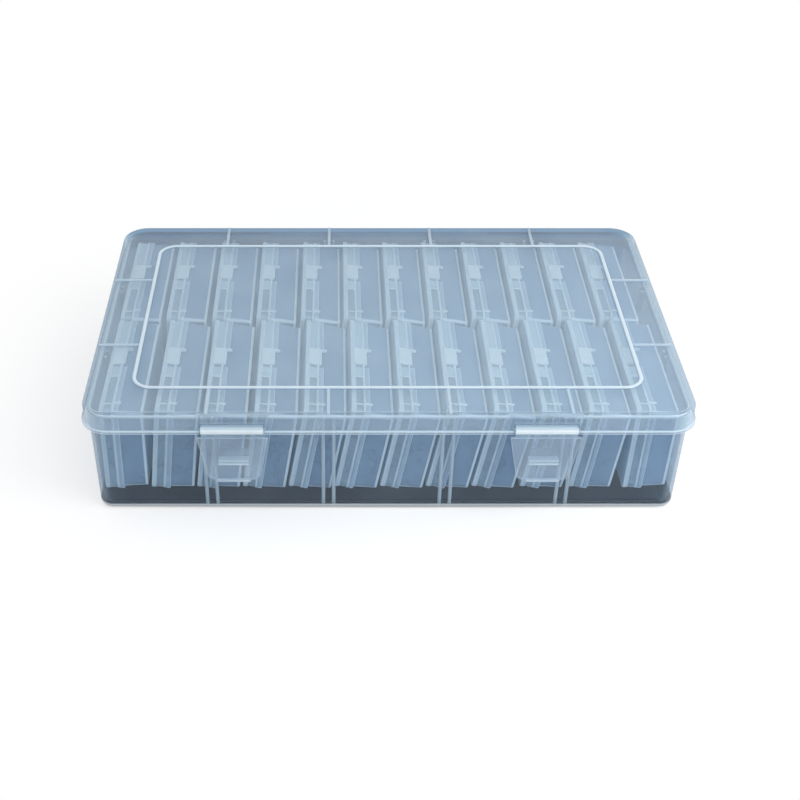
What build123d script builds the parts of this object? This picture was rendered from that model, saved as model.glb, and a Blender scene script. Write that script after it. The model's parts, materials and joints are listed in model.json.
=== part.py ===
from build123d import *

import math
import os

# Clear case with a hinged, latched lid, holding two rows of small flip-top boxes that stand on edge.
# Row frame: +X to the right, +Y to the back, +Z up, origin under the middle of the whole case.
# All lengths in millimetres, all angles in degrees.

# ---- small box: thickness along its own X, length along Y, height along Z when it stands upright
box_length = 76.2
box_height = 47.9
box_thick = 19.6
box_wall = 1.1
box_lid_depth = 6.6
box_lid_corner = 3.2
tray_corner = 2.2
tray_draft = 4.0
tray_inset = 1.2
hinge_web_length = 58.0
hinge_web_thick = 0.7
hinge_web_drop = 4.0
box_latch_length = 13.0
box_latch_back = 4.8
box_latch_height = 0.6
box_latch_start = 1.2
box_latch_end = 7.6
box_latch_lip = 1.6
box_latch_lip_end = 10.0

# ---- how the boxes stand: leans in degrees, tops towards +X, from the left end of each row
front_leans = [1, 6, 7, 9, 10, 10, 10, 10, 10, 8.5, 7, 1.5]
back_leans = [1, 3, 5, 6, 7, 7, 7, 7, 6, 5, 4, 2]
box_gap = 1.17
seat_gap = 0.05
row_gap = 0.8
end_gap = 0.4
cut_past = 1.0

# ---- case base
wall = 1.5
floor_thick = 1.6
base_draft = 1.0
base_corner = 7.2
base_foot_bevel = 3.0
rim_overhang = 2.1
rim_side_overhang = 0.3
rim_thick = 1.6
headroom = 1.1
side_rib_depth = 1.2
front_rib_depth = 1.2
rib_width = 1.7
rib_slot = 3.0
rib_below_rim = 3.2
front_rib_count = 4
front_rib_pitch = 53.5
side_rib_count = 2
side_rib_pitch = 58.8

# ---- case lid
lid_gap = 0.3
lid_wall = 1.6
lid_corner = 12.2
lid_top = 1.6
lid_skirt = 9.3
lid_edge = 1.0
lid_bead = 1.0
lid_bead_height = 2.4
panel_inset = 21.0
panel_corner = 8.5
panel_rib = 1.5
panel_rib_height = 0.7
edge_rib = 1.3
edge_rib_height = 0.5

# ---- front latches
latch_centre = 69.0
latch_above_skirt = 1.7
latch_off_wall = 0.3
latch_width = 27.6
latch_pin = 1.2
latch_fit = 0.08
latch_mouth = 1.9
latch_barrel = 2.3
latch_side_gap = 0.4
latch_tab_top = 31.4
latch_tab_bottom = 23.0
latch_tab_drop = 27.0
latch_tab_corner = 4.0
latch_plate = 1.5
latch_neck_drop = 3.0
latch_grip = 1.2
hook_width = 13.5
hook_drop = 16.4
hook_height = 2.0
hook_overlap = 1.2
catch_height = 2.0
catch_gap = 0.4
catch_depth = 2.9

# ---- rear hinges
hinge_centre = 71.0
hinge_below_skirt = 0.7
hinge_pin = 1.5
hinge_fit = 0.08
hinge_barrel = 2.8
hinge_barrel_length = 18.0
hinge_lug = 2.4
hinge_side_gap = 0.4
hinge_clear = 0.8
hinge_lug_root = 8.0
hinge_lug_drop = 0.6
hinge_mouth = 2.0

SIDES = {"left": -1, "right": 1}


def leaned(u, w, lean):
    """Where a point of the small box lands, across and up from its lower left corner."""
    angle = math.radians(lean)
    return u * math.cos(angle) + w * math.sin(angle), w * math.cos(angle) - u * math.sin(angle)


def corner_height(lean):
    """Height of the box's lower left corner when its hinge web or its right edge stands on the floor."""
    edge_inset = tray_inset + (box_thick - box_lid_depth) * math.tan(math.radians(tray_draft))
    web_right = box_lid_depth + hinge_web_thick
    lows = [leaned(web_right, -hinge_web_drop, lean)[1], leaned(box_thick, edge_inset, lean)[1]]
    return floor_thick + seat_gap - min(lows)


def row_places(leans):
    """Left-to-right places of one row's lower left corners, each box just clear of the one before."""
    places = [(0.0, corner_height(leans[0]))]
    for before, lean in zip(leans, leans[1:]):
        x_before, z_before = places[-1]
        slope = math.tan(math.radians(before))
        foot_x, foot_z = leaned(box_thick, 0, before)
        z = corner_height(lean)
        reaches = []
        for w in (0, box_height):
            across, up = leaned(0, w, lean)
            face = x_before + foot_x + (z + up - z_before - foot_z) * slope
            reaches.append(face - across)
        places.append((max(reaches) + box_gap / math.cos(math.radians(before)), z))
    return places


def row_span(leans):
    """Width that one row takes from its first lower left corner to its last upper right corner."""
    x, _ = row_places(leans)[-1]
    return x + max(leaned(box_thick, 0, leans[-1])[0], leaned(box_thick, box_height, leans[-1])[0])


# ---- sizes worked out from what the case holds
rows = {"front": (-1, front_leans), "back": (1, back_leans)}
row_width = max(row_span(leans) for _, leans in rows.values())
top_of_boxes = max(
    corner_height(lean) + leaned(box_latch_start, box_height + box_latch_height, lean)[1]
    for _, leans in rows.values()
    for lean in leans
)
rim_z = top_of_boxes + headroom
spread = rim_z * math.tan(math.radians(base_draft))
floor_spread = floor_thick * math.tan(math.radians(base_draft))
cavity_width = row_width + 2 * (side_rib_depth + end_gap)
cavity_depth = 2 * box_length + row_gap + 2 * (front_rib_depth + end_gap)
bottom_width = cavity_width + 2 * (wall - floor_spread)
bottom_depth = cavity_depth + 2 * (wall - floor_spread)
top_width = bottom_width + 2 * spread
top_depth = bottom_depth + 2 * spread
rim_width = top_width + 2 * rim_side_overhang
rim_depth = top_depth + 2 * rim_overhang
lid_width = rim_width + 2 * (lid_gap + lid_wall)
lid_depth = rim_depth + 2 * (lid_gap + lid_wall)
rim_corner = lid_corner - lid_wall - lid_gap
lid_z = rim_z + lid_top
skirt_z = lid_z - lid_skirt
rib_top_z = rim_z - rib_below_rim
latch_z = skirt_z + latch_above_skirt
hinge_z = skirt_z - hinge_below_skirt
latch_out = lid_depth / 2 + latch_off_wall
hinge_out = lid_depth / 2 + hinge_barrel
front_reach = latch_out + latch_barrel + latch_grip
back_reach = hinge_out + hinge_barrel
case_y = (front_reach - back_reach) / 2
latch_y = case_y - latch_out
hinge_y = case_y + hinge_out
hook_top = latch_z - hook_drop
catch_y = case_y - bottom_depth / 2 - hook_top * math.tan(math.radians(base_draft)) - catch_depth
first_x = -cavity_width / 2 + side_rib_depth + end_gap


def spots(count, pitch):
    """Places of evenly spaced copies either side of the middle."""
    return [(number - (count - 1) / 2) * pitch for number in range(count)]


def block(x0, x1, y0, y1, z0, z1):
    """Box between two opposite corners, given in either order."""
    return Pos((x0 + x1) / 2, (y0 + y1) / 2, (z0 + z1) / 2) * Box(abs(x1 - x0), abs(y1 - y0), abs(z1 - z0))


def block_along_x(x, width, y0, y1, z0, z1):
    """Box centred on a place along X."""
    return block(x - width / 2, x + width / 2, y0, y1, z0, z1)


def block_along_y(y, width, x0, x1, z0, z1):
    """Box centred on a place along Y."""
    return block(x0, x1, y - width / 2, y + width / 2, z0, z1)


def rounded_block(outline, height, radius=0.0, narrowing=0.0):
    """Block raised on a rectangular outline, its sides drafted by an angle and its standing edges rounded."""
    base = Plane(outline.faces()[0])
    solid = extrude(outline, height)
    if narrowing:
        solid = draft(solid.faces().filter_by(base, reverse=True), base, narrowing)
    if radius:
        solid = fillet(solid.edges() - solid.faces().filter_by(base).edges(), radius)
    return solid


def plate(width, depth, radius, z0, z1, opening=0.0):
    """Upright block with rounded corners, centred on the case, its sides opening upwards by an angle."""
    return rounded_block(Pos(0, case_y, z0) * Rectangle(width, depth), z1 - z0, radius, -opening)


def rod(radius, x, length, y, z):
    """Round bar along X, centred on a place along it."""
    return Pos(x, y, z) * Rot(0, 90, 0) * Cylinder(radius, length)


def side_plate(inset, radius, x0, x1, narrowing=0.0):
    """Block of a small box, lying across its own X, inset from its full outline and narrowing towards x1."""
    outline = Plane.YZ.offset(x0) * Pos(0, box_height / 2) * Rectangle(box_length - 2 * inset, box_height - 2 * inset)
    return rounded_block(outline, x1 - x0, radius, narrowing)


# ---- small box pieces, upright, lower left corner of the lid's rim at the origin
def make_tray():
    """Open bin of a small box, with the folded hinge web that joins it to its lid."""
    seam = box_lid_depth
    tray = side_plate(tray_inset, tray_corner, seam, box_thick, tray_draft)
    tray -= side_plate(tray_inset + box_wall, 0, seam, box_thick - box_wall, tray_draft)
    half = hinge_web_length / 2
    return tray + block(seam, seam + hinge_web_thick, -half, half, -hinge_web_drop, tray_inset + box_wall / 2)


def make_lid():
    """Shallow lid of a small box with its snap latch on the top edge."""
    shell = side_plate(0, box_lid_corner, 0, box_lid_depth)
    shell -= side_plate(tray_inset + box_wall, 0, box_wall, box_lid_depth)
    front, back = box_latch_back - box_latch_length / 2, box_latch_back + box_latch_length / 2
    top = box_height + box_latch_height
    seat = box_height - tray_inset + seat_gap
    arm = block(box_latch_start, box_lid_depth, front, back, box_height - tray_inset, top)
    arm += block(box_lid_depth, box_latch_end, front, back, seat, top)
    lip = block(box_latch_end, box_latch_lip_end, back - box_latch_lip, back, seat, top)
    return shell + arm + lip


# ---- case base
def wall_ribs():
    """Pairs of upright divider ribs on all four walls, as the blocks left standing in the cavity."""
    pair = spots(2, rib_slot + rib_width)
    past = wall + spread
    ribs = []
    for side in SIDES.values():
        inner_y = case_y + side * (cavity_depth / 2 - front_rib_depth)
        outer_y = inner_y + side * (front_rib_depth + past)
        for x in spots(front_rib_count, front_rib_pitch):
            ribs += [block_along_x(x + half, rib_width, inner_y, outer_y, 0, rib_top_z) for half in pair]
        inner_x = side * (cavity_width / 2 - side_rib_depth)
        outer_x = inner_x + side * (side_rib_depth + past)
        for y in spots(side_rib_count, side_rib_pitch):
            ribs += [block_along_y(case_y + y + half, rib_width, inner_x, outer_x, 0, rib_top_z) for half in pair]
    return ribs


def hinge_pin_and_lugs(centre):
    """Two lugs on the back wall with the hinge pin between them."""
    inside = case_y + cavity_depth / 2
    root_z = hinge_z - hinge_lug_drop - hinge_lug_root / 2
    root = Pos(inside + wall / 2, root_z) * Rectangle(wall, hinge_lug_root)
    profile = make_hull([Pos(hinge_y, hinge_z) * Circle(hinge_barrel).edge(), *root.edges()])
    span = hinge_barrel_length + 2 * hinge_side_gap
    pieces = [rod(hinge_pin, centre, span, hinge_y, hinge_z)]
    for start in (centre - span / 2 - hinge_lug, centre + span / 2):
        pieces.append(extrude(Plane.YZ.offset(start) * profile, hinge_lug))
    return pieces


def make_base():
    """Drafted tub with a rim, divider ribs, latch catches at the front and hinge lugs at the back."""
    tub = plate(bottom_width, bottom_depth, base_corner - spread, 0, rim_z, base_draft)
    tub = chamfer(tub.faces().sort_by(Axis.Z)[0].edges(), base_foot_bevel)
    rim_bottom = rim_z - rim_thick
    rim = plate(rim_width, rim_depth, rim_corner, rim_bottom, rim_z)
    rim_front = case_y - rim_depth / 2
    tub_front = case_y - top_depth / 2
    notch = latch_tab_top + 2 * latch_side_gap
    for side in SIDES.values():
        rim -= block_along_x(side * latch_centre, notch, rim_front, tub_front, rim_bottom, rim_z)
    tub += rim
    catch_z = hook_top + catch_gap
    for side in SIDES.values():
        tub += block_along_x(
            side * latch_centre, hook_width, catch_y, catch_y + catch_depth + wall, catch_z, catch_z + catch_height
        )
        for piece in hinge_pin_and_lugs(side * hinge_centre):
            tub += piece
    cavity_corner = base_corner - spread - wall
    cavity = plate(cavity_width, cavity_depth, cavity_corner, floor_thick, rim_z + cut_past, base_draft)
    for rib in wall_ribs():
        cavity -= rib
    return tub - cavity


# ---- case lid
def make_case_lid():
    """Shallow lid with a bead round its skirt, raised panel lines on top, latch pins and hinge clips."""
    lid = plate(lid_width, lid_depth, lid_corner, skirt_z, lid_z)
    lid = chamfer(lid.faces().sort_by(Axis.Z)[-1].edges(), lid_edge)
    bead_corner = lid_corner + lid_bead
    bead_top = skirt_z + lid_bead_height
    lid += plate(lid_width + 2 * lid_bead, lid_depth + 2 * lid_bead, bead_corner, skirt_z, bead_top)
    lid += raised_lines()
    below = skirt_z - cut_past
    lug_space = hinge_lug + 2 * hinge_clear
    for side in SIDES.values():
        centre = side * hinge_centre
        for x in spots(2, hinge_barrel_length + lug_space):
            space_top = hinge_z + hinge_barrel + hinge_clear
            space_back = hinge_y + hinge_barrel + hinge_clear
            lid -= block_along_x(centre + x, lug_space, case_y + top_depth / 2, space_back, below, space_top)
        lid += rod(hinge_barrel, centre, hinge_barrel_length, hinge_y, hinge_z)
    lid -= plate(rim_width + 2 * lid_gap, rim_depth + 2 * lid_gap, lid_corner - lid_wall, below, rim_z)
    for side in SIDES.values():
        centre = side * hinge_centre
        lid -= rod(hinge_pin + hinge_fit, centre, hinge_barrel_length, hinge_y, hinge_z)
        mouth_back = hinge_y + hinge_mouth / 2
        mouth_front = hinge_y - hinge_mouth / 2
        lid -= block_along_x(centre, hinge_barrel_length, mouth_front, mouth_back, hinge_z - hinge_barrel, hinge_z)
        centre = side * latch_centre
        window = latch_width + 2 * latch_side_gap
        window_front = latch_y - latch_barrel
        window_top = latch_z + latch_barrel + latch_side_gap
        lid -= block_along_x(centre, window, window_front, case_y - rim_depth / 2, below, window_top)
        lid += rod(latch_pin, centre, window, latch_y, latch_z)
    return lid


def raised_lines():
    """Raised rectangle on the lid and the short ribs that run from it to the edge."""
    width = lid_width - 2 * panel_inset
    depth = lid_depth - 2 * panel_inset
    panel_top = lid_z + panel_rib_height
    ring = plate(width + panel_rib, depth + panel_rib, panel_corner + panel_rib / 2, lid_z, panel_top)
    ring -= plate(width - panel_rib, depth - panel_rib, panel_corner - panel_rib / 2, lid_z, panel_top)
    reach = panel_inset - lid_edge
    rib_top = lid_z + edge_rib_height
    for side in SIDES.values():
        inner_y = case_y + side * depth / 2
        for x in spots(front_rib_count, front_rib_pitch):
            ring += block_along_x(x, edge_rib, inner_y, inner_y + side * reach, lid_z, rib_top)
        inner_x = side * width / 2
        for y in spots(side_rib_count, side_rib_pitch):
            ring += block_along_y(case_y + y, edge_rib, inner_x, inner_x + side * reach, lid_z, rib_top)
    return ring


# ---- front latch
def make_latch(centre):
    """Drop latch: clip round the lid's pin, tapering tab, hook under the base's catch, grip at the end."""
    front = latch_y - latch_barrel
    back = front + latch_plate
    neck_z = latch_z - latch_neck_drop
    end_z = latch_z - latch_tab_drop
    tab = Polygon(
        (-latch_tab_top / 2, neck_z),
        (-latch_tab_bottom / 2, end_z),
        (latch_tab_bottom / 2, end_z),
        (latch_tab_top / 2, neck_z),
        align=None,
    )
    tab = fillet(tab.vertices().sort_by(Axis.Y)[:2], latch_tab_corner)
    latch = extrude(Plane.XZ.offset(-front) * Pos(centre, 0) * tab, latch_plate, dir=(0, 1, 0))
    latch += block_along_x(centre, latch_width, front, back, neck_z, latch_z)
    latch += rod(latch_barrel, centre, latch_width, latch_y, latch_z)
    latch += block_along_x(centre, hook_width, front, catch_y + hook_overlap, hook_top - hook_height, hook_top)
    grip_width = latch_tab_bottom - 2 * latch_tab_corner
    latch += block_along_x(centre, grip_width, front - latch_grip, back, end_z, end_z + latch_grip)
    latch -= rod(latch_pin + latch_fit, centre, latch_width, latch_y, latch_z)
    mouth_low = latch_z - latch_mouth / 2
    mouth_high = latch_z + latch_mouth / 2
    latch -= block_along_x(centre, latch_width, latch_y, latch_y + latch_barrel, mouth_low, mouth_high)
    return latch


def main():
    """Write one STEP file for each piece."""
    os.makedirs("parts", exist_ok=True)
    pieces = {"case_base": make_base(), "case_lid": make_case_lid()}
    for name, side in SIDES.items():
        pieces[f"latch_{name}"] = make_latch(side * latch_centre)
    tray = make_tray()
    lid = make_lid()
    for row, (side, leans) in rows.items():
        y = case_y + side * (row_gap + box_length) / 2
        for number, ((x, z), lean) in enumerate(zip(row_places(leans), leans), 1):
            place = Pos(first_x + x, y, z) * Rot(0, lean, 0)
            pieces[f"box_{row}_{number:02d}_tray"] = place * tray
            pieces[f"box_{row}_{number:02d}_lid"] = place * lid
    for name, piece in pieces.items():
        export_step(piece, os.path.join("parts", f"{name}.step"))


main()
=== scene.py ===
"""Clear storage case with a latched lid and two rows of leaning flip-top boxes, dressed around its model.

Every new piece is a surface worked out with numpy: a rounded outline carried along a profile. The properties
hold lengths in metres, as Blender shows them; the functions work in millimetres, in the model's own frame.
"""

import json
import math
from types import SimpleNamespace

import bpy
import numpy as np
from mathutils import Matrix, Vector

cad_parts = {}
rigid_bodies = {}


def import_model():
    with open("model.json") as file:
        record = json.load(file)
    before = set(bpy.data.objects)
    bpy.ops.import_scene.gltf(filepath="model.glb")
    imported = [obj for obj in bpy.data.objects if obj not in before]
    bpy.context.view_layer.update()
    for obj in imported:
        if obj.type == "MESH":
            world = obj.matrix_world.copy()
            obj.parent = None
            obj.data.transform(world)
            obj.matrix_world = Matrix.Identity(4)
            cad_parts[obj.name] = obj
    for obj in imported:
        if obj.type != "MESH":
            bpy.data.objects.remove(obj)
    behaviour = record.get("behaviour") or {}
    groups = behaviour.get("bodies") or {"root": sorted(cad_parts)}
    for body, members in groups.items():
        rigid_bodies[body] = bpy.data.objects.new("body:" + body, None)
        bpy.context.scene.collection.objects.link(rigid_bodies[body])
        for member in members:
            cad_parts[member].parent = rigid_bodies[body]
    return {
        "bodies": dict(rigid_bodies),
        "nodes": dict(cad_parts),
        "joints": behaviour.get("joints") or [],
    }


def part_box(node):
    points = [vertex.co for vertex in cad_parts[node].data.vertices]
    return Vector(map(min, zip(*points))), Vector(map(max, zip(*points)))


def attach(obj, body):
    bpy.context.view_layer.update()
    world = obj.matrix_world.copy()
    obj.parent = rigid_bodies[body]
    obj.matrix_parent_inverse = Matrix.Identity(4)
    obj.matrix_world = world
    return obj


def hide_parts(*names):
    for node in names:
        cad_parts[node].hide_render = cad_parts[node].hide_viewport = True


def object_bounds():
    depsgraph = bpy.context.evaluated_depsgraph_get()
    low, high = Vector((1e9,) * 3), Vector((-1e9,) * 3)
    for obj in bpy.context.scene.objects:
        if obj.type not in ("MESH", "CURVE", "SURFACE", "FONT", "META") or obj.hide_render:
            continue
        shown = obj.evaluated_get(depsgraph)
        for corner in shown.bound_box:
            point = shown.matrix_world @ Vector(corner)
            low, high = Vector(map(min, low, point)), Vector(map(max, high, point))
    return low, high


bl_info = {
    "name": "Bead organizer case",
    "version": (2, 0, 0),
    "blender": (4, 5, 0),
    "location": "3D View > Sidebar > Organizer",
    "description": "Clear latched case with two rows of leaning flip-top boxes",
    "category": "Object",
}

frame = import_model()
cad_low, cad_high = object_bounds()

MM = 0.001
SIDES = {"left": -1, "right": 1}
ARC_STEPS, CASE_STEPS = 6, 8  # runs per arc of a small box's outline, and of the case's
CORNER_SHARE = 0.9  # how much of a corner's radius a face reaches in from its edge before it is filled
SHARP_ANGLE = 50  # degrees between two faces from which their edge is drawn sharp
SUNK = 0.4  # how deep, in millimetres, a raised form stands in what carries it
STRAIGHT = 0.999  # least part of an outward direction along Y on a front or back side
CUT_STEP = 0.02  # millimetres from a cut's end to the points on either side of it
HINGE_MOUTH = (245, 295)  # degrees between which a hinge clip is open, downwards
LATCH_MOUTH = (-24, 24)  # degrees between which a latch's clip is open, to the back
WHITE = (1.0, 1.0, 1.0, 1.0)


# ---- properties
def linear(hex_colour):
    """sRGB hex colour as linear red, green, blue and full alpha."""
    values = [int(hex_colour[start : start + 2], 16) / 255 for start in (1, 3, 5)]
    return [v / 12.92 if v <= 0.04045 else ((v + 0.055) / 1.055) ** 2.4 for v in values] + [1.0]


def length(name, description, millimetres):
    """Length property with its default in millimetres."""
    return bpy.props.FloatProperty(
        name=name, description=description, default=millimetres * MM, min=0.0, precision=5,
        subtype="DISTANCE", unit="LENGTH",
    )


def angle(name, description, degrees):
    """Angle property with its default in degrees."""
    return bpy.props.FloatProperty(
        name=name, description=description, default=math.radians(degrees), subtype="ANGLE", unit="ROTATION"
    )


def share(name, description, default):
    """Plain number from nought to one."""
    return bpy.props.FloatProperty(
        name=name, description=description, default=default, min=0.0, max=1.0, subtype="FACTOR"
    )


def colour(name, description, hex_colour):
    """Colour property with its default as an sRGB hex colour."""
    return bpy.props.FloatVectorProperty(
        name=name, description=description, default=linear(hex_colour), min=0.0, max=1.0,
        size=4, subtype="COLOR",
    )


def plastic_look(
    tint, slant_tint, body, bright, haze, edge, grazing, gloss, blur, roughness, cloud, streak=1.0
):
    """Properties that every clear plastic has, with one plastic's own defaults, for its class to register."""
    return {
        "tint": colour("Tint", "Colour of light that crosses the wall", tint),
        "slant_tint": colour("Slant tint", "Colour of light that crosses a wall at a slant", slant_tint),
        "body": colour("Body", "Colour of the haze", body),
        # Painted highlight: bright is its colour along rounded edges, and edge is the haze that it adds
        # there.
        "bright": colour("Bright", "Colour along rounded edges", bright),
        "haze": share("Haze", "Share of light that the wall scatters", haze),
        "edge": share("Edge", "Extra haze along rounded edges", edge),
        "grazing": share("Grazing", "Extra haze at grazing angles", grazing),
        "gloss": share("Gloss", "Strength of the reflection", gloss),
        "gloss_roughness": share("Gloss roughness", "Blur of the reflection", blur),
        "roughness": share("Roughness", "Roughness of the haze", roughness),
        "cloud": length("Cloud", "Size of the clouds in the haze", cloud),
        # Stretched into streaks, the clouds are partly random haze and partly painted reflections.
        "streak": share("Streak", "How little the clouds change along the length", streak),
    }


class BaseSizes(bpy.types.PropertyGroup):
    """Sizes of the case's base."""

    wall: length("Wall", "Thickness of the walls", 1.5)
    floor_thick: length("Floor", "Thickness of the floor", 1.6)
    draft: angle("Draft", "Slope of the walls", 1.0)
    corner: length("Corner", "Radius of the standing corners at the top", 7.2)
    bottom_round: length("Bottom round", "Radius along the bottom edge", 4.5)
    foot_inset: length("Foot inset", "How far in from the wall the foot line lies", 2.6)
    foot_width: length("Foot width", "Width of the foot line", 1.2)
    foot_height: length("Foot height", "Height of the foot line", 0.8)
    inner_round: length("Inner round", "Radius where the walls meet the floor", 2.0)
    rim_overhang: length("Rim overhang", "How far the rim stands out in front and behind", 2.1)
    # Painted highlight: away from the front the rim's upper part glows, this far down and this strongly.
    rim_glow_depth: length("Milky depth", "How far down the wall the rim's milkiness fades", 5.0)
    rim_glow: share("Rim glow", "Milkiness of the rim at the sides and the back", 0.6)
    rim_side_overhang: length("Rim side overhang", "How far the rim stands out at the sides", 0.3)
    rim_notch: length("Rim notch", "Width of the rim's notch behind a latch", 32.2)
    rim_thick: length("Rim", "Thickness of the rim", 1.6)
    lid_gap: length("Lid gap", "Gap between the rim and the lid's skirt", 0.3)
    rib_width: length("Rib width", "Thickness of a divider rib", 1.7)
    rib_slot: length("Rib slot", "Gap between the two ribs of a pair", 3.0)
    rib_below_rim: length("Rib top", "How far a divider rib ends below the rim", 3.2)
    rib_depth: length("Rib depth", "How far a divider rib stands out from its wall", 1.2)
    front_rib_pitch: length("Front rib pitch", "Distance between rib pairs along the length", 53.5)
    side_rib_pitch: length("Side rib pitch", "Distance between rib pairs across the depth", 58.8)


class LidSizes(bpy.types.PropertyGroup):
    """Sizes of the case's lid."""

    wall: length("Wall", "Thickness of the lid", 1.6)
    corner: length("Corner", "Radius of the corners", 12.2)
    edge: length("Edge", "Radius along the top edge", 1.2)
    bead: length("Bead", "How far the bead stands out round the skirt", 1.0)
    bead_height: length("Bead height", "Height of the bead", 1.8)
    panel_inset: length("Panel inset", "Distance of the raised rectangle from the edge", 21.0)
    panel_corner: length("Panel corner", "Corner radius of the raised rectangle", 8.5)
    panel_rib: length("Panel rib", "Width of the raised rectangle's line", 1.9)
    panel_rib_height: length("Panel rib height", "Height of the raised rectangle's line", 0.7)
    edge_rib: length("Edge rib", "Width of a short rib between rectangle and edge", 1.5)
    edge_rib_height: length("Edge rib height", "Height of a short rib", 0.5)
    # Painted highlight: the skirt's inner face glows at the sides.
    side_glow: share("Side glow", "Milkiness of the skirt's inner face at the sides", 0.8)


class LatchSizes(bpy.types.PropertyGroup):
    """Sizes of a front latch, and of its pin and catch."""

    width: length("Width", "Width of the clip round the pin", 27.6)
    pin: length("Pin", "Radius of the pin", 1.2)
    barrel: length("Barrel", "Outer radius of the clip", 2.3)
    fit: length("Fit", "Gap between pin and clip", 0.08)
    gap: length("Gap", "Gap beside and above the clip", 0.4)
    above_skirt: length("Above skirt", "Height of the pin above the lid's lower edge", 2.1)
    plate: length("Plate", "Thickness of the tab", 1.5)
    neck_drop: length("Neck", "How far below the pin the tab begins", 3.0)
    tab_top: length("Tab top", "Width of the tab at its neck", 31.4)
    tab_bottom: length("Tab bottom", "Width of the tab at its lower end", 23.0)
    tab_corner: length("Tab corner", "Radius of the tab's lower corners", 4.0)
    hook_width: length("Hook width", "Width of hook and catch", 13.5)
    hook_drop: length("Hook drop", "How far below the pin the hook's top is", 16.4)
    hook_height: length("Hook height", "Height of hook and catch", 2.0)
    bar: length("Bar", "Height of the bright bar along the hook's lower edge", 0.9)
    catch_gap: length("Catch gap", "Gap between hook and catch", 0.4)
    catch_depth: length("Catch depth", "How far the catch stands out", 2.9)
    grip_width: length("Grip width", "Width of the grip at the tab's end", 15.0)
    grip: length("Grip", "How far the grip stands out", 1.2)


class HingeSizes(bpy.types.PropertyGroup):
    """Sizes of a rear clip hinge."""

    centre: length("Centre", "Distance of a hinge from the middle", 71.0)
    pin: length("Pin", "Radius of the pin", 1.5)
    barrel: length("Barrel", "Outer radius of the clip", 2.8)
    fit: length("Fit", "Gap between pin and clip", 0.08)
    clip_length: length("Clip length", "Length of the clip", 18.0)
    lug: length("Lug", "Thickness of a lug", 2.4)
    side_gap: length("Side gap", "Gap between clip and lug", 0.4)
    clear: length("Clearance", "Room round a lug in the lid", 0.8)
    root_top: length("Root top", "How far below the pin a lug's root begins", 0.9)
    root_bottom: length("Root bottom", "How far below the pin a lug's root ends", 8.2)


class BoxSizes(bpy.types.PropertyGroup):
    """Sizes of one small box. It stands on its long edge with its lid to the left."""

    length: length("Length", "Length of the box", 76.2)
    height: length("Height", "Height of the box on edge", 47.9)
    thick: length("Thickness", "Thickness of the box", 19.6)
    wall: length("Wall", "Thickness of the walls", 1.1)
    lid_depth: length("Lid depth", "Depth of the lid", 6.6)
    lid_corner: length("Lid corner", "Radius of the lid's corners", 3.2)
    groove: length("Groove", "Depth of the groove round the lid's side", 0.35)
    face_rail: length("Face rail", "Width of the bead between the groove and the lid's face", 2.0)
    mouth_rail: length("Mouth rail", "Width of the bead between the groove and the lid's mouth", 1.0)
    tray_inset: length("Tray inset", "How far the tray stands inside the lid's outline", 1.2)
    bright_edge: length("Bright edge", "Width of the light line along the tray's far edge", 1.1)
    foot_rise: length("Foot rise", "How far the lower edge stands above the full height's foot", 2.2)
    end_inset: length("End inset", "How far the tray's ends stand inside the lid's outline", 0.35)
    tray_corner: length("Tray corner", "Radius of the tray's corners", 2.4)
    tray_draft: angle("Tray draft", "Slope of the tray's walls", 4.0)
    flange: length("Flange", "Width of the flange round the tray's mouth", 2.0)
    web_length: length("Web length", "Length of the folded hinge web", 58.0)
    web_thick: length("Web", "Thickness of the hinge web", 0.7)
    web_drop: length("Web drop", "How far the hinge web stands out below", 4.0)
    latch_length: length("Latch length", "Length of the snap latch", 13.0)
    latch_back: length("Latch back", "How far behind the middle the snap latch sits", 4.8)
    latch_height: length("Latch height", "How far the snap latch stands up", 0.6)
    latch_start: length("Latch start", "Distance of the snap latch from the lid's face", 1.3)
    latch_end: length("Latch end", "Where the snap latch ends across the box", 7.6)
    lip_length: length("Lip length", "Length of the latch's lip", 1.6)
    lip_end: length("Lip end", "Where the lip ends across the box", 9.9)
    frame_length: length("Frame length", "Length of the shallow frame in front of the latch", 9.2)
    window_end: length("Window end", "Distance of the groove's clear part from the box's front end", 6.0)


class BaseFinish(bpy.types.PropertyGroup):
    """Look of the base: clear moulded polypropylene, with painted shade that makes its floor dark blue and
    its back wall darker and bluer.
    """

    __annotations__ = plastic_look(
        tint="#E8EEF3", slant_tint="#A9BCCD", body="#B4C8D8", bright="#EDF4F6", haze=0.05, edge=0.8,
        grazing=0.12, gloss=0.3, blur=0.12, roughness=0.35, cloud=25.0,
    )
    # Painted shade: the wall behind is painted darker and bluer, with a little more haze.
    back_shade_tint: colour("Back tint", "Colour of light that crosses the wall behind", "#8CB2CF")
    back_shade_haze: share("Back haze", "Extra haze in the back wall", 0.03)
    # Painted shade: the floor is painted dark blue, in full up to a small height and fading out above it,
    # standing in for the shade and dark surroundings seen through it.
    floor_shade: colour("Deep", "Colour of the haze at the floor", "#060F2A")
    floor_shade_strength: share("Floor haze", "Share of light that the floor holds back", 0.97)
    floor_shade_top: length("Floor top", "Height up to which the floor's colour is full", 1.7)
    floor_shade_fade: length("Floor fade", "Height over which the floor's colour fades out", 2.0)


class LidFinish(bpy.types.PropertyGroup):
    """Look of the case's lid: clear moulded polypropylene, with painted shade that makes its skirt behind
    darker and bluer.
    """

    __annotations__ = plastic_look(
        tint="#F2F7FA", slant_tint="#748FA6", body="#CCDEEB", bright="#C1D1DC", haze=0.15, edge=0.85,
        grazing=0.33, gloss=0.25, blur=0.1, roughness=0.3, cloud=30.0,
    )
    # Painted shade: the skirt behind is painted darker and bluer, with a little more haze.
    back_shade_tint: colour("Back tint", "Colour of light that crosses the skirt behind", "#90B6D0")
    back_shade_haze: share("Back haze", "Extra haze in the skirt behind", 0.03)


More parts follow.
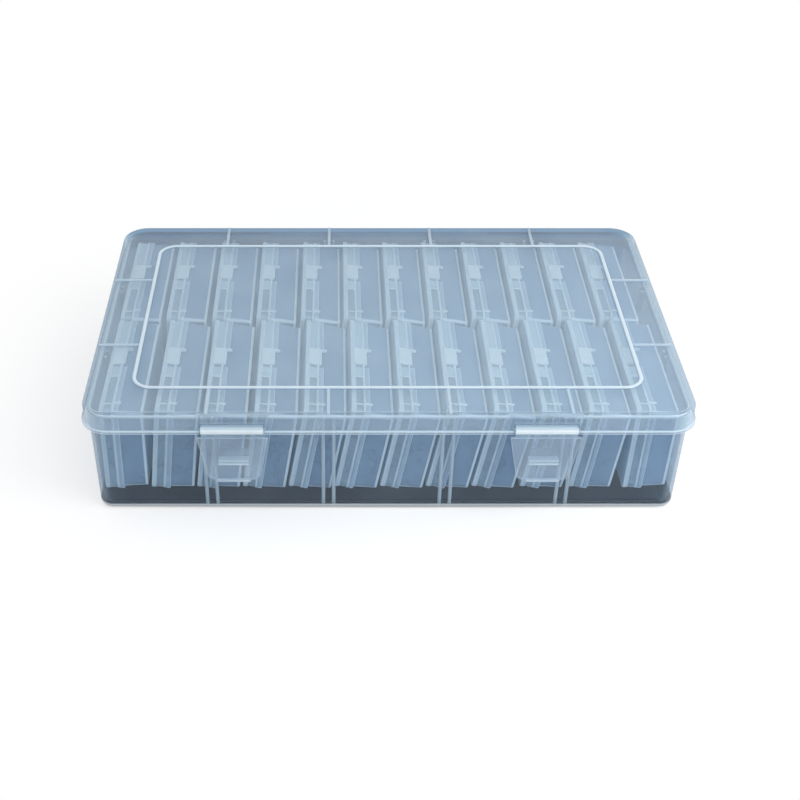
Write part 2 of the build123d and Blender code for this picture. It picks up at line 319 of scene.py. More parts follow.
class LatchFinish(bpy.types.PropertyGroup):
    """Look of the latches: thin clear polypropylene, a little milkier than the case."""

    __annotations__ = plastic_look(
        tint="#F0F5F9", slant_tint="#B7C8D5", body="#C3D6E4", bright="#DFE9EE", haze=0.17, edge=0.65,
        grazing=0.15, gloss=0.4, blur=0.12, roughness=0.3, cloud=12.0,
    )


class TrayFinish(bpy.types.PropertyGroup):
    """Look of the small trays: thin polypropylene with a cool blue haze in long soft streaks, partly random
    haze and partly painted reflections.
    """

    __annotations__ = plastic_look(
        tint="#F5F9FC", slant_tint="#EAF1F8", body="#C2D9ED", bright="#FAFDFC", haze=0.32, edge=0.95,
        grazing=0.7, gloss=0.25, blur=0.2, roughness=0.4, cloud=9.0, streak=0.25,
    )


class BoxLidFinish(bpy.types.PropertyGroup):
    """Look of the small lids: thin milky polypropylene, brighter than the trays."""

    # Its clouds are stretched into streaks as well, partly random haze and partly painted reflections.
    __annotations__ = plastic_look(
        tint="#F6FAFB", slant_tint="#EDF3F8", body="#DAE9F3", bright="#FAFDFC", haze=0.28, edge=0.95,
        grazing=0.7, gloss=0.25, blur=0.2, roughness=0.4, cloud=9.0, streak=0.25,
    )


class StageSizes(bpy.types.PropertyGroup):
    """Camera, floor and surroundings."""

    floor_colour: colour("Floor", "Colour of the floor", "#FAFBFC")
    floor_half: length("Floor half", "Half the width of the floor", 3000.0)
    fade_from: length("Fade from", "Distance at which the floor begins to turn white", 40.0)
    fade_to: length("Fade to", "Distance at which the floor is plain white", 260.0)
    pitch: angle("Pitch", "How far the camera looks down", 36.0)
    focal: bpy.props.FloatProperty(name="Focal length", description="In sensor widths", default=1.65875)
    shift: bpy.props.FloatProperty(name="Shift", description="Sideways shift of the lens", default=0.084)
    rise: bpy.props.FloatProperty(name="Rise", description="Upward shift of the lens", default=-0.00125)
    camera_x: length("Camera left", "How far left of the middle the camera stands", 24.8)
    camera_y: length("Camera front", "How far in front of the lid the camera stands", 462.5)
    camera_z: length("Camera up", "How far above the lid the camera stands", 345.1)
    surroundings: share("Surroundings", "Strength of the white surroundings", 0.76)


GROUPS = {
    "organizer_base": BaseSizes,
    "organizer_lid": LidSizes,
    "organizer_latch": LatchSizes,
    "organizer_hinge": HingeSizes,
    "organizer_box": BoxSizes,
    "organizer_base_finish": BaseFinish,
    "organizer_lid_finish": LidFinish,
    "organizer_latch_finish": LatchFinish,
    "organizer_tray_finish": TrayFinish,
    "organizer_box_lid_finish": BoxLidFinish,
    "organizer_stage": StageSizes,
}


def sizes(key):
    """What one of the scene's groups holds, with lengths in millimetres."""
    group = getattr(bpy.context.scene, f"organizer_{key}")
    kinds = group.bl_rna.properties
    values = {}
    for name in type(group).__annotations__:
        value = getattr(group, name)
        values[name] = value / MM if kinds[name].unit == "LENGTH" else value
    return SimpleNamespace(**values)


# ---- finishes
def add_node(tree, kind, settings=None, links=None):
    """Adds a shader node, sets its properties and sockets, links its inputs, and gives back its outputs."""
    node = tree.nodes.new(f"ShaderNode{kind}")
    for key, value in (settings or {}).items():
        if isinstance(key, int) or key in node.inputs:
            node.inputs[key].default_value = value
        else:
            setattr(node, key, value)
    for key, socket in (links or {}).items():
        tree.links.new(socket, node.inputs[key])
    return node.outputs


def new_material(name):
    """An empty material and its node tree."""
    material = bpy.data.materials.new(name)
    material.use_nodes = True
    material.node_tree.nodes.clear()
    return material, material.node_tree


def clear_polypropylene(name, look):
    """Clear moulded polypropylene: lets light through with a blue tint, and clouds it with a milky haze.

    The haze is the look's own, a little more or less in soft clouds, and more at grazing angles; stretched
    along the length, the clouds make streaks that are partly random haze and partly painted reflections.
    Along rounded edges a painted highlight, from each piece's edge attribute, adds haze in the bright colour,
    standing in for light that runs inside the plastic and comes out. Where a look has them, a band along the
    back is painted darker and bluer, and the floor dark blue up to a small height, both as painted shade.
    Light that crosses a wall at a slant goes through more plastic and comes out darker. The haze scatters
    most light forwards, so lamps shine through it into the case. The mould leaves a faint ripple, 2.2 mm
    long, under a soft gloss.
    """
    ripple_mm, ripple_strength, ripple_height_mm = 2.2, 0.02, 0.01
    cloud_swing, cloud_least = 0.9, 0.55
    slant_power, gloss_power, gloss_straight = 2.5, 5.0, 0.045
    back_shade_band_mm, back_shade_fade_mm = 11.5, 4.0
    forward_share, refraction = 0.7, 1.49
    material, tree = new_material(name)
    place = add_node(tree, "TexCoord")["Object"]
    # Stretched along the length, the clouds make streaks, partly random haze and partly painted reflections.
    streaks = {"Scale": (1.0, look.streak, 1.0)}
    stretched = add_node(tree, "Mapping", streaks, {"Vector": place})["Vector"]
    clouds = {"Scale": 1 / (look.cloud * MM), "Detail": 2.0}
    cloud = add_node(tree, "TexNoise", clouds, {"Vector": stretched})["Fac"]
    ripples = {"Scale": 1 / (ripple_mm * MM), "Detail": 1.0}
    ripple = add_node(tree, "TexNoise", ripples, {"Vector": place})["Fac"]
    relief = {"Strength": ripple_strength, "Distance": ripple_height_mm * MM}
    bump = add_node(tree, "Bump", relief, {"Height": ripple})["Normal"]
    # Painted highlight: each piece's edge attribute adds haze along rounded edges.
    edge = add_node(tree, "Attribute", {"attribute_name": "edge"})["Fac"]
    facing = add_node(tree, "LayerWeight", {"Blend": 0.5})["Facing"]
    slant = add_node(tree, "Math", {"operation": "POWER", 1: slant_power}, {0: facing})[0]
    along = add_node(tree, "SeparateXYZ", links={"Vector": place})

    clouded = {"operation": "MULTIPLY_ADD", 1: look.haze * cloud_swing, 2: look.haze * cloud_least}
    haze = add_node(tree, "Math", clouded, {0: cloud})[0]
    body_links, tint_links = {"Factor": edge}, {"Factor": slant}
    painted_floor_shade, more_haze = None, [(look.grazing, slant), (look.edge, edge)]
    # Painted shade: near the floor the haze turns dark blue and holds back most of the light, fading out
    # upwards.
    if hasattr(look, "floor_shade"):
        fade_from, fade_to = look.floor_shade_top * MM, (look.floor_shade_top + look.floor_shade_fade) * MM
        fade = {"From Min": fade_from, "From Max": fade_to, "To Min": look.floor_shade_strength, "To Max": 0.0}
        painted_floor_shade = add_node(tree, "MapRange", fade, {"Value": along["Z"]})["Result"]
        floor_shaded_body = {"data_type": "RGBA", "A": look.body, "B": look.floor_shade}
        body_links["A"] = add_node(tree, "Mix", floor_shaded_body, {"Factor": painted_floor_shade})["Result"]
    # Painted shade: a band 11.5 mm wide along the back, fading in over 4 mm, is painted darker and bluer,
    # with a little more haze.
    if hasattr(look, "back_shade_tint"):
        back_y = cad_high[1] - back_shade_band_mm * MM
        back_fade = {"From Min": back_y - back_shade_fade_mm * MM, "From Max": back_y}
        back_shade_mask = add_node(tree, "MapRange", back_fade, {"Value": along["Y"]})["Result"]
        tints = {"data_type": "RGBA", "A": look.tint, "B": look.back_shade_tint}
        tint_links["A"] = add_node(tree, "Mix", tints, {"Factor": back_shade_mask})["Result"]
        more_haze.insert(0, (look.back_shade_haze, back_shade_mask))
    # The last of these sums, along the edges, is kept from going past one.
    for amount, where in more_haze:
        added = {"operation": "MULTIPLY_ADD", "use_clamp": where == edge, 1: amount}
        haze = add_node(tree, "Math", added, {0: where, 2: haze})[0]
    shadow = add_node(tree, "LightPath")["Is Shadow Ray"]
    forwards = {"operation": "MULTIPLY_ADD", 1: -forward_share, 2: 1.0}
    held_back = add_node(tree, "Math", forwards, {0: shadow})[0]
    haze = add_node(tree, "Math", {"operation": "MULTIPLY"}, {0: haze, 1: held_back})[0]
    # The painted floor shade is added after, so that it holds back shadow rays in full.
    if painted_floor_shade:
        summed = {"operation": "ADD", "use_clamp": True}
        haze = add_node(tree, "Math", summed, {0: haze, 1: painted_floor_shade})[0]
    # Painted highlight: along rounded edges the haze's colour turns towards the bright colour.
    bodies = {"data_type": "RGBA", "A": look.body, "B": look.bright}
    body = add_node(tree, "Mix", bodies, body_links)["Result"]
    slants = {"data_type": "RGBA", "A": look.tint, "B": look.slant_tint}
    tint = add_node(tree, "Mix", slants, tint_links)["Result"]

    clear = add_node(tree, "BsdfTransparent", links={"Color": tint})[0]
    scatter = {"Roughness": look.roughness, "IOR": refraction}
    milky = add_node(tree, "BsdfPrincipled", scatter, {"Base Color": body, "Normal": bump})[0]
    plastic = add_node(tree, "MixShader", links={0: haze, 1: clear, 2: milky})[0]
    shine = {"Roughness": look.gloss_roughness, "Color": WHITE}
    gloss = add_node(tree, "BsdfAnisotropic", shine, {"Normal": bump})[0]
    mirrored = add_node(tree, "Math", {"operation": "POWER", 1: gloss_power}, {0: facing})[0]
    strength = {"operation": "MULTIPLY_ADD", 1: look.gloss, 2: look.gloss * gloss_straight}
    mirrored = add_node(tree, "Math", strength, {0: mirrored})[0]
    whole = add_node(tree, "MixShader", links={0: mirrored, 1: plastic, 2: gloss})[0]
    add_node(tree, "OutputMaterial", links={"Surface": whole})
    return material


def finish_of(part):
    """The clear plastic of a part, from the scene's own look for it."""
    return clear_polypropylene(f"{part}_polypropylene", sizes(f"{part}_finish"))


# ---- shapes
def unit(vector):
    """The vector made one long."""
    return vector / np.linalg.norm(vector)


def hull_path(circles, steps, lead, stations=None):
    """Outline round a set of circles, counter-clockwise: arcs round each one joined by straight tangent runs.

    Two neighbouring circles share the outward direction of their common tangent, whose angle is the angle of
    the line between their centres less the arc cosine of (difference of radii / distance). Each point is kept
    as a centre, a radius, an outward direction and a bend, so that an offset only changes the radius. The
    bend rises from nought at an arc's ends to one in its middle. A straight run has a point at the lead from
    each end, and one at each station, given as a share of its length.
    """
    centres, radii = np.split(np.array(circles, float), [2], axis=1)
    radii = radii[:, 0]
    ahead = np.roll(centres, -1, axis=0) - centres
    gap = np.linalg.norm(ahead, axis=1)
    leave = np.arctan2(ahead[:, 1], ahead[:, 0]) - np.arccos((radii - np.roll(radii, -1)) / gap)
    tent = 1 - np.abs(np.linspace(-1, 1, steps + 1))
    rows = []
    for index, start in enumerate(np.roll(leave, 1)):
        end = start + (leave[index] - start) % (2 * math.pi)
        after = (index + 1) % len(circles)
        turns = np.linspace(start, end, steps + 1)
        rows += [(*centres[index], radii[index], turn, bend) for turn, bend in zip(turns, tent)]
        shares = {lead / gap[index], 1 - lead / gap[index], *(stations or {}).get(index, ())}
        for part in sorted(shares):
            middle = centres[index] + ahead[index] * part
            rows.append((*middle, radii[index] + (radii[after] - radii[index]) * part, leave[index], 0.0))
    rows = np.array(rows)
    outward = np.stack([np.cos(rows[:, 3]), np.sin(rows[:, 3])], axis=1)
    return rows[:, :2], rows[:, 2], outward, rows[:, 4]


def circle_path(radius, steps):
    """Outline of one circle about the origin."""
    turns = np.linspace(0, 2 * math.pi, steps, endpoint=False)
    outward = np.stack([np.cos(turns), np.sin(turns)], axis=1)
    return np.zeros((steps, 2)), np.full(steps, radius), outward, np.zeros(steps)


def rounded_rectangle(width, depth, radius, steps, lead, centre, front=(), back=()):
    """Path round a rectangle with equal rounded corners. front and back list extra places on those sides."""
    x, y = width / 2 - radius, depth / 2 - radius
    signs = ((1, 1), (-1, 1), (-1, -1), (1, -1))
    circles = [(centre[0] + across * x, centre[1] + along * y, radius) for across, along in signs]
    left, right = centre[0] - x, centre[0] + x
    stations = {
        0: [(right - place) / (right - left) for place in back],
        2: [(place - left) / (right - left) for place in front],
    }
    return hull_path(circles, steps, lead, stations)


def rounded_profile(corners, fade=0.5, steps=3, strip=1.8):
    """Profile through corners of (offset, height, rounding, glow).

    Each corner becomes an arc that touches both of its sides: its centre lies on the corner's bisector at
    rounding / sin(half the corner's angle). The glow, a painted highlight, is full on the arc and fades out
    along both sides, or runs on to the next corner where that is nearer than the strip.
    """
    side_share, fade_share = 0.46, 4
    points = np.array([corner[:2] for corner in corners], float)
    glows = [corner[3] for corner in corners]
    rows = []
    for index, (x, z, rounding, glow) in enumerate(corners):
        if index in (0, len(corners) - 1) or not rounding:
            rows.append((x, z, glow))
            continue
        corner = points[index]
        back, on = points[index - 1] - corner, points[index + 1] - corner
        half = math.acos(np.clip(unit(back) @ unit(on), -1, 1)) / 2
        room = side_share * min(np.linalg.norm(back), np.linalg.norm(on))
        setback = min(rounding / math.tan(half), room)
        radius = setback * math.tan(half)
        centre = corner + unit(unit(back) + unit(on)) * radius / math.sin(half)
        start, end = corner + unit(back) * setback, corner + unit(on) * setback
        shares = np.linspace(0, 1, steps + 1)
        spokes = np.outer(1 - shares, start - centre) + np.outer(shares, end - centre)
        arc = centre + radius * spokes / np.linalg.norm(spokes, axis=1)[:, None]
        step = min(fade, room / fade_share)
        before = min(glow, glows[index - 1]) if np.linalg.norm(back) < strip else 0.0
        after = min(glow, glows[index + 1]) if np.linalg.norm(on) < strip else 0.0
        rows.append((*(start + unit(back) * step), before))
        rows += [(*point, glow) for point in arc]
        rows.append((*(end + unit(on) * step), after))
    rows = np.array(rows)
    return rows[:, 0], rows[:, 1], rows[:, 2]


def round_the_path(profile, path):
    """A profile's offsets, heights and glow repeated at every point of a path, to be changed one by one."""
    count = len(path[1])
    return [np.repeat(values[:, None], count, axis=1) for values in profile]


def outline(path, offset=0.0):
    """Points of a path, or of the outline a given distance outside it."""
    centres, radii, outward, _ = path
    return centres + outward * (radii + offset)[:, None]


def cut_places(spans):
    """Places just outside and just inside both ends of each span, between which a wall drops to a cut."""
    return [end + step for span in spans for end in span for step in (-CUT_STEP, CUT_STEP)]


def in_cut(path, side, span):
    """Which of a path's points lie within a span of its front side (-1) or of its back side (1)."""
    centres, _, outward, _ = path
    return (side * outward[:, 1] > STRAIGHT) & (centres[:, 0] > span[0]) & (centres[:, 0] < span[1])


def swept(path, profile, closed=False, bend_glow=0.0):
    """Surface of a profile carried round a path.

    Point (i, j) is path centre j + outward direction j x (path radius j + offset i), at height i. An open
    profile runs from the middle of one cap to the middle of the other, and the two end rows are filled. The
    glow at (i, j), a painted highlight, is the profile's, or bend_glow x the path's bend where that is more,
    which paints glints where the path bends.
    """
    centres, radii, outward, bends = path
    count, round_count = len(profile[0]), len(radii)
    offsets, heights, glow = [
        np.broadcast_to(values.reshape(count, -1), (count, round_count)) for values in profile
    ]
    plane = centres[None] + outward[None] * (radii[None] + offsets)[..., None]
    verts = np.concatenate([plane, heights[..., None]], axis=2).reshape(-1, 3)
    rows = np.arange(count if closed else count - 1)
    first = rows[:, None] * round_count
    second = ((rows + 1) % count)[:, None] * round_count
    here = np.arange(round_count)[None]
    there = np.roll(np.arange(round_count), -1)[None]
    quads = np.stack([first + here, first + there, second + there, second + here], axis=2).reshape(-1, 4)
    caps = []
    if not closed:
        caps = [list(range(round_count))[::-1], list(range((count - 1) * round_count, count * round_count))]
    edge = np.maximum(glow, bend_glow * bends[None]).reshape(-1)
    return verts, quads.tolist() + caps, edge


def around(centre, half):
    """The two places that lie a distance either side of a centre."""
    return centre - half, centre + half


def block(across, along, up, corner, edge, glow, top_glow=None, body_glow=0.0):
    """Block between two places on each axis: a rounded rectangle carried up, its end edges rounded as well.

    The glow is the painted highlight of the rounded edges, and body_glow the least painted glow anywhere on
    the block.
    """
    most, edge_most, lead_share = 0.45, 0.8, 0.1
    low, high = np.array([across, along, up], float).T
    size = high - low
    middle = (low + high) / 2
    corner = min(corner, most * size[0], most * size[1])
    edge = min(edge, most * size[2], edge_most * corner)
    path = rounded_rectangle(size[0], size[1], corner, 2, lead_share * min(size[:2]), middle[:2])
    inset = -CORNER_SHARE * corner
    top = glow if top_glow is None else top_glow
    foot, head = up
    corners = [(inset, foot, 0, glow), (0, foot, edge, glow), (0, head, edge, top), (inset, head, 0, top)]
    verts, faces, edges = swept(path, rounded_profile(corners, steps=2))
    return verts, faces, np.maximum(edges, body_glow)


def rod(radius, along, y, z, glow=0.5):
    """Round bar between two places along X: a circle carried along, its two ends rounded."""
    end, steps, inset = 0.25, 20, -CORNER_SHARE * radius
    near, far = along
    # The rod's glow is a painted highlight.
    corners = [(inset, near, 0, glow), (0, near, end, glow), (0, far, end, glow), (inset, far, 0, glow)]
    return moved(turned(swept(circle_path(radius, steps), rounded_profile(corners, steps=2))), (0, y, z))


def clip(radius, bore, mouth, along, y, z, glow, lit=(-1.0, 1.0)):
    """C-shaped clip along X: the ring between two radii, open between the mouth's two angles in degrees.

    The ring's section is carried straight along X. It has a painted glow where the height, as a share of the
    outer radius, lies between the two values of lit.
    """
    steps = 24
    turns = np.radians(np.linspace(mouth[1], mouth[0] + 360, steps + 1))
    rim = np.stack([np.cos(turns), np.sin(turns)], axis=1)
    section = np.concatenate([rim * radius, rim[::-1] * bore])
    count = len(section)
    verts = np.concatenate([np.column_stack([np.full(count, x), section]) for x in along])
    here = np.arange(count)
    there = np.roll(here, -1)
    quads = np.stack([here, there, there + count, here + count], axis=1)
    caps = [list(range(count))[::-1], list(range(count, 2 * count))]
    height = verts[:, 2] / radius
    edge = np.where((height > lit[0]) & (height < lit[1]), glow, 0.0)
    return moved((verts, quads.tolist() + caps, edge), (0, y, z))


def turned(shape):
    """The shape with its Z laid along X, its X along Y and its Y along Z."""
    verts, faces, edge = shape
    return verts[:, (2, 0, 1)], faces, edge


def moved(shape, by):
    """The shape moved by a vector."""
    verts, faces, edge = shape
    return verts + np.array(by, float), faces, edge


def joined(shapes):
    """Several shapes as one."""
    faces, start = [], 0
    for shape in shapes:
        faces += [[index + start for index in face] for face in shape[1]]
        start += len(shape[0])
    verts, edge = [np.concatenate([shape[part] for shape in shapes]) for part in (0, 2)]
    return verts, faces, edge


def raised_line(half, base, height, glow, steps=8):
    """Closed section of a raised line: flat underneath, its top height x sine to the power of bluntness."""
    bluntness, glow_bluntness = 0.6, 0.5
    turns = np.radians(np.linspace(0, 180, steps + 1))
    offsets = np.concatenate([[-half, half], half * np.cos(turns)])
    heights = np.concatenate([[base - SUNK, base - SUNK], base + height * np.sin(turns) ** bluntness])
    # Painted highlight along the top of the line.
    lit = np.concatenate([[0.0, 0.0], glow * np.sin(turns) ** glow_bluntness])
    return offsets, heights, lit


# ---- placing
def add_piece(name, shape, finish, body, replaced):
    """Makes a shape given in millimetres a mesh object, on its body and in its finish."""
    verts, faces, edge = shape
    mesh = bpy.data.meshes.new(name)
    mesh.from_pydata((verts * MM).tolist(), [], faces)
    # The edge attribute holds each point's painted highlight, for the finish to read.
    mesh.attributes.new("edge", "FLOAT", "POINT").data.foreach_set("value", edge.astype(np.float32))
    mesh.materials.append(finish)
    mesh.shade_smooth()
    mesh.set_sharp_from_angle(angle=math.radians(SHARP_ANGLE))
    piece = bpy.data.objects.new(name, mesh)
    bpy.context.scene.collection.objects.link(piece)
    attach(piece, body)
    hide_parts(*replaced)


def node_box(node):
    """Lowest and highest corners of a model node, in millimetres."""
    low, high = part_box(node)
    return np.array(low) / MM, np.array(high) / MM


def joint_place(name):
    """Where a joint's axis passes, in millimetres."""
    return np.array(next(joint["pos_m"] for joint in frame["joints"] if joint["name"] == name)) / MM


def spots(count, pitch):
    """Places of evenly spaced copies either side of the middle."""
    return [(number - (count - 1) / 2) * pitch for number in range(count)]


def lid_outline():
    """Width, depth and middle along Y of the case lid's skirt, without its bead, read from the model."""
    low, high = node_box("case_lid")
    bead = sizes("lid").bead
    front_y = low[1] + bead
    back_y = joint_place("lid_hinge")[1] - sizes("hinge").barrel
    return high[0] - low[0] - 2 * bead, back_y - front_y, (front_y + back_y) / 2


# ---- case
def build_case_base():
    """Tub with rim, paired ribs, catches, hinge lugs and pins."""
    s, latch = sizes("base"), sizes("latch")
    rim_z = node_box("case_base")[1][2]
    lid_width, lid_depth, middle_y = lid_outline()
    slope = math.tan(s.draft)
    rim_inset = sizes("lid").wall + s.lid_gap
    rim_width, rim_depth = lid_width - 2 * rim_inset, lid_depth - 2 * rim_inset
    top_width = rim_width - 2 * s.rim_side_overhang
    top_depth = rim_depth - 2 * s.rim_overhang
    pin = joint_place("latch_right_pivot")
    notches = [around(side * pin[0], s.rim_notch / 2) for side in SIDES.values()]
    shared = CASE_STEPS, 1.0, (0, middle_y), cut_places(notches)
    path = rounded_rectangle(top_width, top_depth, s.corner, *shared)
    rim_path = rounded_rectangle(rim_width, rim_depth, sizes("lid").corner - rim_inset, *shared)
    offsets, heights, glow = round_the_path(base_profile(s, rim_z, slope), path)
    # Painted highlight: away from the front the rim's upper part glows all over, down to a little above where
    # its edge glow fades.
    fade_gap = 0.5
    not_front = np.clip(np.maximum(np.abs(path[2][:, 0]), path[2][:, 1]), 0.0, 1.0)
    milky = heights > rim_z - s.rim_glow_depth + fade_gap
    glow = np.where(milky, np.maximum(glow, s.rim_glow * not_front), glow)
    for notch in notches:
        inside = in_cut(path, -1, notch)
        offsets[:, inside] = np.minimum(offsets[:, inside], 0)
    verts, faces, edge = swept(path, (offsets, heights, glow), bend_glow=0.12)
    # The rim's corners are rounder than the tub's, so its points slide out to the rim's own outline.
    share_out = np.maximum(offsets / s.rim_overhang, 0)[..., None]
    spread = share_out * (outline(rim_path) - outline(path, s.rim_overhang))
    verts[:, :2] += spread.reshape(-1, 2)
    shapes = [(verts, faces, edge)]
    # The foot line carries a painted glow.
    foot_line = raised_line(s.foot_width / 2, s.foot_height, -s.foot_height, 0.6)
    inset = slope * rim_z + s.foot_inset
    foot_width, foot_depth = top_width - 2 * inset, top_depth - 2 * inset
    foot = rounded_rectangle(foot_width, foot_depth, s.corner - inset, CASE_STEPS, 1.0, (0, middle_y))
    shapes.append(swept(foot, [values[::-1] for values in foot_line], closed=True))
    pair = spots(2, s.rib_slot + s.rib_width)
    for side in SIDES.values():
        wall_y = middle_y + side * (top_depth - s.wall) / 2
        wall_x = side * (top_width - s.wall) / 2
        for x in [x + shift for x in spots(4, s.front_rib_pitch) for shift in pair]:
            shapes.append(sloping_rib(s, x, wall_y, side, slope, rim_z))
        for y in [middle_y + y + shift for y in spots(2, s.side_rib_pitch) for shift in pair]:
            verts, faces, edge = sloping_rib(s, y, wall_x, side, slope, rim_z)
            shapes.append((verts[:, (1, 0, 2)], [face[::-1] for face in faces], edge))
    shapes += hinge_lugs(s, middle_y + top_depth / 2)
    catch_low = pin[2] - latch.hook_drop + latch.catch_gap
    wall_front = middle_y - top_depth / 2 + slope * (rim_z - catch_low)
    for side in SIDES.values():
        across = around(side * pin[0], latch.hook_width / 2)
        along = wall_front - latch.catch_depth, wall_front + s.wall / 2
        up = catch_low, catch_low + latch.hook_height
        # The catches carry a painted glow along their edges and a faint one all over.
        shapes.append(block(across, along, up, 0.4, 0.4, 0.25, body_glow=0.15))
    finish = finish_of("base")
    add_piece("case_base_shell", joined(shapes), finish, "case_base", ["case_base"])


def base_profile(s, rim_z, slope):
    """Section of the tub: under the floor, up the sloping outside, round the rim and down the inside."""
    middle = -CORNER_SHARE * s.corner
    # The last value of each corner is the strength of its painted highlight.
    corners = [
        (middle, 0, 0, 0),
        (-slope * rim_z, 0, s.bottom_round, 0.35),
        (-slope * s.rim_thick, rim_z - s.rim_thick, 0.4, 0.2),
        (s.rim_overhang, rim_z - s.rim_thick, 0.4, 0.5),
        (s.rim_overhang, rim_z, 0.5, 0.8),
        (-s.wall, rim_z, 0.5, 1.0),
        (-s.wall - slope * s.rim_glow_depth, rim_z - s.rim_glow_depth, 0, 0),
        (-s.wall - slope * (rim_z - s.floor_thick), s.floor_thick, s.inner_round, 0.05),
        (middle, s.floor_thick, 0, 0),
    ]
    return rounded_profile(corners, steps=5)


def sloping_rib(s, along, wall_place, side, slope, rim_z):
    """Upright rib on a front or back wall: a block whose points move out by slope x height, as the wall's."""
    across, out = around(0, s.rib_width / 2), (0, s.wall / 2 + s.rib_depth)
    up = SUNK, rim_z - s.rib_below_rim
    # Painted highlight: the ribs glow along their edges and, more faintly, all over.
    verts, faces, edge = block(across, out, up, 0.8, 0.7, 1.0, body_glow=0.65)
    x = along - side * verts[:, 0]
    y = wall_place - side * (verts[:, 1] + slope * (rim_z - verts[:, 2]))
    return np.column_stack([x, y, verts[:, 2]]), faces, edge


def hinge_lugs(s, back_wall):
    """Two pins on the hinge's axis, each between two lugs, which are plates from the axis into the wall."""
    hinge, root, lower_share, near = sizes("hinge"), 0.3, 0.7, -0.25
    _, y, z = joint_place("lid_hinge")
    circles = [
        (y, z, hinge.barrel),
        (back_wall - s.wall / 2, z - hinge.root_top, root),
        (back_wall - s.wall * lower_share, z - hinge.root_bottom, root),
    ]
    lug = hull_path(circles, CASE_STEPS, 0.3)
    span = hinge.clip_length / 2 + hinge.side_gap
    shapes = []
    for side in SIDES.values():
        centre = side * hinge.centre
        shapes.append(rod(hinge.pin, around(centre, span + SUNK), y, z))
        for start in (centre - span - hinge.lug, centre + span):
            end = start + hinge.lug
            # The lugs' edges carry a painted glow.
            corners = [(near, start, 0, 0.4), (0, start, 0.3, 0.5), (0, end, 0.3, 0.5), (near, end, 0, 0.4)]
            shapes.append(turned(swept(lug, rounded_profile(corners, steps=2))))
    return shapes


def build_case_lid():
    """Shallow lid: skirt with bead, latch windows and pins, hinge slots and clips, raised lines on top."""
    s, latch, hinge, base = sizes("lid"), sizes("latch"), sizes("hinge"), sizes("base")
    axis, pin = joint_place("lid_hinge"), joint_place("latch_right_pivot")
    lid_z = node_box("case_lid")[1][2] - s.panel_rib_height
    width, depth, middle_y = lid_outline()
    ceiling = lid_z - s.wall
    window = latch.width / 2 + latch.gap
    slot_near = hinge.clip_length / 2
    slot_far = slot_near + hinge.lug + 2 * hinge.clear
    windows = [around(side * pin[0], window) for side in SIDES.values()]
    slots = [
        sorted((side * hinge.centre + end * slot_near, side * hinge.centre + end * slot_far))
        for side in SIDES.values()
        for end in SIDES.values()
    ]
    places = cut_places(windows), cut_places(slots)
    path = rounded_rectangle(width, depth, s.corner, CASE_STEPS, 1.0, (0, middle_y), *places)
    offsets, heights, glow = round_the_path(lid_profile(s, lid_z, pin[2] - latch.above_skirt), path)
    window_top = pin[2] + latch.barrel + latch.gap
    slot_top = axis[2] + hinge.barrel + hinge.clear
    for spans, side, top in ((windows, -1, window_top), (slots, 1, slot_top)):
        for span in spans:
            inside = in_cut(path, side, span)
            heights[:, inside] = np.maximum(heights[:, inside], top)
            offsets[:, inside] = np.minimum(offsets[:, inside], 0)
    # Painted highlight: the skirt's edges glow most in front and fade towards the back, and its inner face
    # glows at the sides.
    least, margin, above = 0.15, 0.05, 1.0
    outward = path[2]
    glow *= np.clip(-outward[:, 1], least, 1.0)
    inner_face = (offsets < margin - s.wall) & (heights < ceiling - above)
    glow = np.where(inner_face, np.maximum(glow, s.side_glow * np.abs(outward[:, 0])), glow)
    shapes = [swept(path, (offsets, heights, glow))]
    panel_width, panel_depth = width - 2 * s.panel_inset, depth - 2 * s.panel_inset
    ring = rounded_rectangle(panel_width, panel_depth, s.panel_corner, CASE_STEPS, 1.0, (0, middle_y))
    # Painted highlight: the raised rectangle's line glows in full; the short ribs, clips and pins carry a
    # fainter painted glow.
    shapes.append(swept(ring, raised_line(s.panel_rib / 2, lid_z, s.panel_rib_height, 1.0), closed=True))
    reach = s.panel_inset - s.edge
    bottom, top = lid_z - SUNK, lid_z + s.edge_rib_height
    half = s.edge_rib / 2
    for side in SIDES.values():
        along = sorted((middle_y + side * panel_depth / 2, middle_y + side * (panel_depth / 2 + reach)))
        across = sorted((side * panel_width / 2, side * (panel_width / 2 + reach)))
        ribs = [(around(x, half), along) for x in spots(4, base.front_rib_pitch)]
        ribs += [(across, around(middle_y + y, half)) for y in spots(2, base.side_rib_pitch)]
        shapes += [block(*rib, (bottom, top), 0.5, 0.35, 0.4, body_glow=0.35) for rib in ribs]
        gripped = around(side * hinge.centre, hinge.clip_length / 2)
        bore = hinge.pin + hinge.fit
        shapes.append(clip(hinge.barrel, bore, HINGE_MOUTH, gripped, axis[1], axis[2], 0.4))
        shapes.append(rod(latch.pin, around(side * pin[0], window + SUNK), pin[1], pin[2], glow=0.3))
    finish = finish_of("lid")
    add_piece("case_lid_shell", joined(shapes), finish, "case_lid", ["case_lid"])


def lid_profile(s, lid_z, skirt_z):
    """Section of the lid's wall: under the top, down inside the skirt, round its bead and up to the top."""
    middle, ceiling, bead_z = -CORNER_SHARE * s.corner, lid_z - s.wall, skirt_z + s.bead_height
    # The last value of each corner is the strength of its painted highlight.
    corners = [
        (middle, ceiling, 0, 0),
        (-s.wall, ceiling, 0.8, 0.1),
        (-s.wall, skirt_z, 0.4, 0.4),
        (s.bead, skirt_z, 0.4, 0.7),
        (s.bead, skirt_z + s.bead_height / 2, 0, 0.1),
        (s.bead, bead_z, 0.4, 0.7),
        (0, bead_z, 0.3, 0.1),
        (0, lid_z, s.edge, 0.08),
        (middle, lid_z, 0, 0),
    ]
    return rounded_profile(corners, steps=4)


